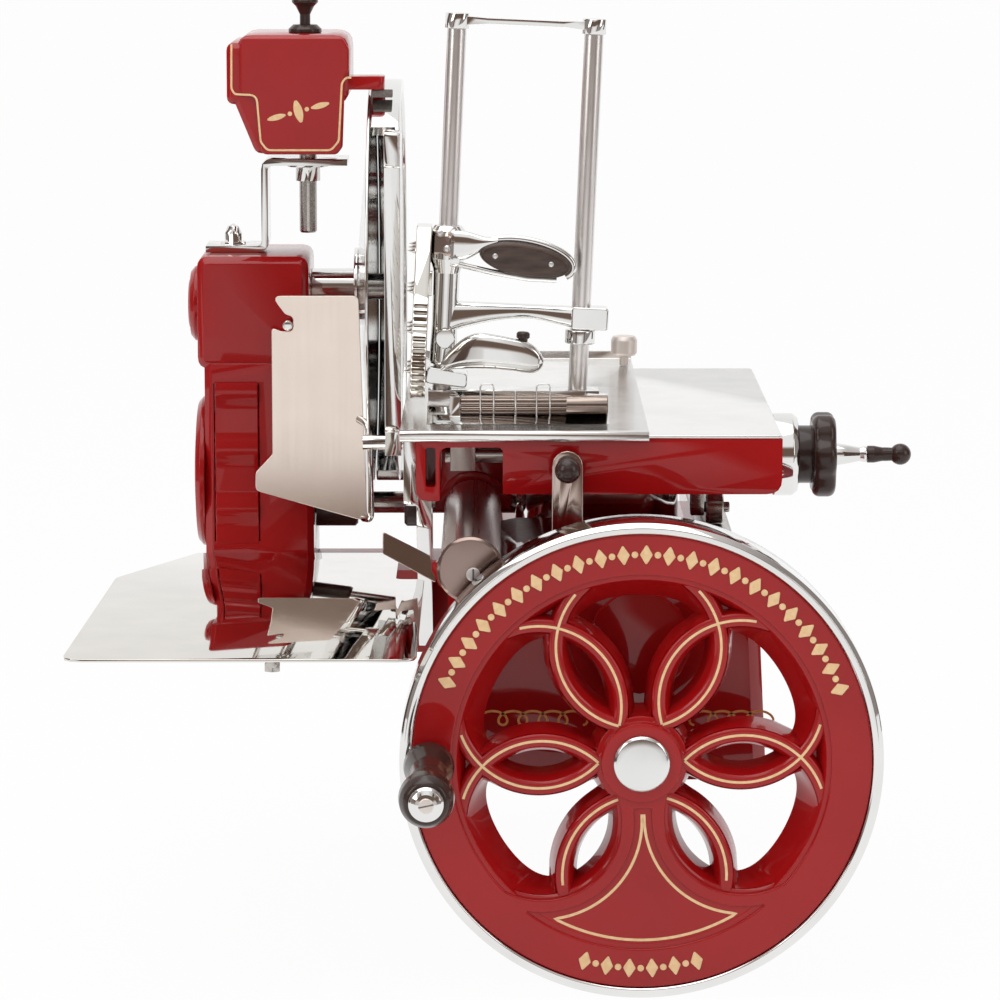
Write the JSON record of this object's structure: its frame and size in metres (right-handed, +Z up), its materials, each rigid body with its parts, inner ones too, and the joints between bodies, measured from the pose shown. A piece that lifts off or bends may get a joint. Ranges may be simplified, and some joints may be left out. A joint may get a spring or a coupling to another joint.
{
  "type": "hand crank meat slicer",
  "caption": "Hand cranked meat slicer: a spoked flywheel with a turning handle drives a round blade beside a sliding carriage with a meat clamp.",
  "frame": {"origin": "centre of the base's foot, on the plane that it stands on", "axes": "+X to the right of the user, +Y away from the user along the carriage's travel, +Z up; the flywheel faces -Y, the blade stands on the -X side"},
  "size_m": [0.5922, 0.7359, 0.671],
  "materials": {
    "red_enamel": "glossy red enamel on castings",
    "chrome": "polished chrome plate",
    "steel": "bright machined steel",
    "satin_steel": "satin sheet steel",
    "dark_plastic": "glossy black-brown phenolic plastic",
    "brown_plastic": "satin dark brown plastic",
    "stone": "grey grinding stone",
    "bronze": "machined bronze"
  },
  "bodies": {
    "frame": {"base_casting": "red_enamel", "column_casting": "red_enamel", "column_upper_cover": "red_enamel", "column_lower_cover": "red_enamel", "gear_housing": "chrome", "guide_tube": "chrome", "support_rail": "steel", "stop_plate": "steel", "blade_shaft_tube": "chrome", "blade_back_cover": "chrome", "blade_guard": "chrome", "gauge_bracket": "chrome", "shaft_sleeve": "brown_plastic", "drive_chain": "steel", "receiving_tray": "chrome", "tray_support_rod": "steel", "deflector_pin": "chrome", "sharpener_bracket": "chrome"},
    "flywheel": {"flywheel_casting": "red_enamel", "flywheel_rim_band": "chrome", "flywheel_hub_cap": "chrome", "flywheel_shaft": "steel", "handle_bolt": "chrome"},
    "handle": {"handle_grip": "dark_plastic"},
    "vertical_drive": {"vertical_shaft": "steel", "upper_bevel_gear": "bronze"},
    "cross_drive": {"cross_shaft": "steel", "cross_bevel_gear": "bronze"},
    "blade": {"blade_disc": "chrome", "blade_hub_cap": "steel", "blade_shaft": "steel"},
    "carriage": {"carriage_casting": "red_enamel", "carriage_top_plate": "chrome", "roller_bracket": "steel", "feed_flange": "chrome"},
    "roller": {"carriage_roller": "steel"},
    "feed_drive": {"feed_screw": "steel", "feed_knob": "dark_plastic", "feed_crank": "chrome"},
    "feed_handle": {"feed_grip": "dark_plastic"},
    "meat_table": {"clamp_table": "chrome", "clamp_foot": "chrome", "clamp_bar": "steel", "clamp_post_right": "chrome", "clamp_post_left": "chrome", "clamp_crossbar": "chrome"},
    "table_clamp": {"table_knob": "chrome"},
    "press": {"press_body": "chrome", "press_plate": "chrome"},
    "lever": {"press_lever": "chrome", "press_grip": "brown_plastic"},
    "paddle": {"lock_paddle": "chrome"},
    "gauge": {"gauge_plate": "chrome"},
    "gauge_dial": {"thickness_knob": "dark_plastic"},
    "deflector": {"slice_deflector": "satin_steel"},
    "sharpener": {"sharpener_housing": "red_enamel", "sharpener_shaft": "steel", "sharpening_stone": "stone"},
    "push_knob": {"sharpener_knob": "dark_plastic"},
    "lock": {"lock_ball": "dark_plastic"}
  },
  "joints": [
    {"name": "flywheel_spin", "type": "hinge", "parent": "frame", "child": "flywheel", "pos_m": [0.017, -0.3, 0.027], "axis": [0, 1, 0], "continuous": true},
    {"name": "handle_spin", "type": "hinge", "parent": "flywheel", "child": "handle", "pos_m": [-0.1285, -0.4, 0.027], "axis": [0, 1, 0], "continuous": true},
    {"name": "vertical_spin", "type": "hinge", "parent": "frame", "child": "vertical_drive", "pos_m": [0.017, 0.11, 0.09], "axis": [0, 0, 1], "continuous": true},
    {"name": "cross_spin", "type": "hinge", "parent": "frame", "child": "cross_drive", "pos_m": [-0.1, 0.11, 0.14], "axis": [1, 0, 0], "continuous": true},
    {"name": "blade_spin", "type": "hinge", "parent": "frame", "child": "blade", "pos_m": [-0.2, 0.11, 0.309], "axis": [1, 0, 0], "continuous": true},
    {"name": "carriage_slide", "type": "slide", "parent": "frame", "child": "carriage", "axis": [0, 1, 0], "range_m": [0, 0.195]},
    {"name": "roller_spin", "type": "hinge", "parent": "carriage", "child": "roller", "pos_m": [0.08, -0.06, 0.1626], "axis": [1, 0, 0], "continuous": true},
    {"name": "feed_spin", "type": "hinge", "parent": "carriage", "child": "feed_drive", "pos_m": [0.1, -0.116, 0.21], "axis": [1, 0, 0], "range_deg": [0, 4248]},
    {"name": "feed_handle_spin", "type": "hinge", "parent": "feed_drive", "child": "feed_handle", "pos_m": [0.2, -0.116, 0.21], "axis": [1, 0, 0], "continuous": true},
    {"name": "clamp_feed", "type": "slide", "parent": "carriage", "child": "meat_table", "axis": [1, 0, 0], "range_m": [0, 0.118]},
    {"name": "table_knob_turn", "type": "hinge", "parent": "meat_table", "child": "table_clamp", "pos_m": [0.017, 0.14, 0.25], "axis": [0, 0, 1], "range_deg": [0, 720]},
    {"name": "press_slide", "type": "slide", "parent": "meat_table", "child": "press", "axis": [0.0436, 0, 0.999], "range_m": [0, 0.135]},
    {"name": "lever_turn", "type": "hinge", "parent": "press", "child": "lever", "pos_m": [-0.1056, -0.153, 0.3685], "axis": [0, -1, 0], "range_deg": [0, 50]},
    {"name": "paddle_turn", "type": "hinge", "parent": "press", "child": "paddle", "pos_m": [-0.1156, -0.163, 0.2789], "axis": [0, -1, 0], "range_deg": [0, 28]},
    {"name": "gauge_slide", "type": "slide", "parent": "frame", "child": "gauge", "axis": [-1, 0, 0], "range_m": [0, 0.012]},
    {"name": "gauge_dial_turn", "type": "hinge", "parent": "frame", "child": "gauge_dial", "pos_m": [-0.145, 0.012, 0.147], "axis": [1, 0, 0], "range_deg": [0, 330]},
    {"name": "deflector_swing", "type": "hinge", "parent": "frame", "child": "deflector", "pos_m": [-0.19, 0.033, 0.25], "axis": [0, 0, 1], "range_deg": [0, 32]},
    {"name": "sharpener_swing", "type": "hinge", "parent": "frame", "child": "sharpener", "pos_m": [-0.228, 0.11, 0.4], "axis": [0, 0, 1], "range_deg": [-90, 0]},
    {"name": "push_knob_press", "type": "slide", "parent": "sharpener", "child": "push_knob", "axis": [0, 0, -1], "range_m": [0, 0.006], "stiffness_N_per_m": 300, "springref_m": -0.004},
    {"name": "lock_pull", "type": "slide", "parent": "frame", "child": "lock", "axis": [0, -1, 0], "range_m": [0, 0.008], "stiffness_N_per_m": 200, "springref_m": -0.006}
  ],
  "couplings": [
    {"joint": "vertical_spin", "follows": "flywheel_spin", "ratio": 1},
    {"joint": "cross_spin", "follows": "flywheel_spin", "ratio": -1},
    {"joint": "blade_spin", "follows": "flywheel_spin", "ratio": -1.8},
    {"joint": "feed_spin", "follows": "clamp_feed", "rad_per_m": 628.3},
    {"joint": "gauge_dial_turn", "follows": "gauge_slide", "rad_per_m": 479.9}
  ]
}
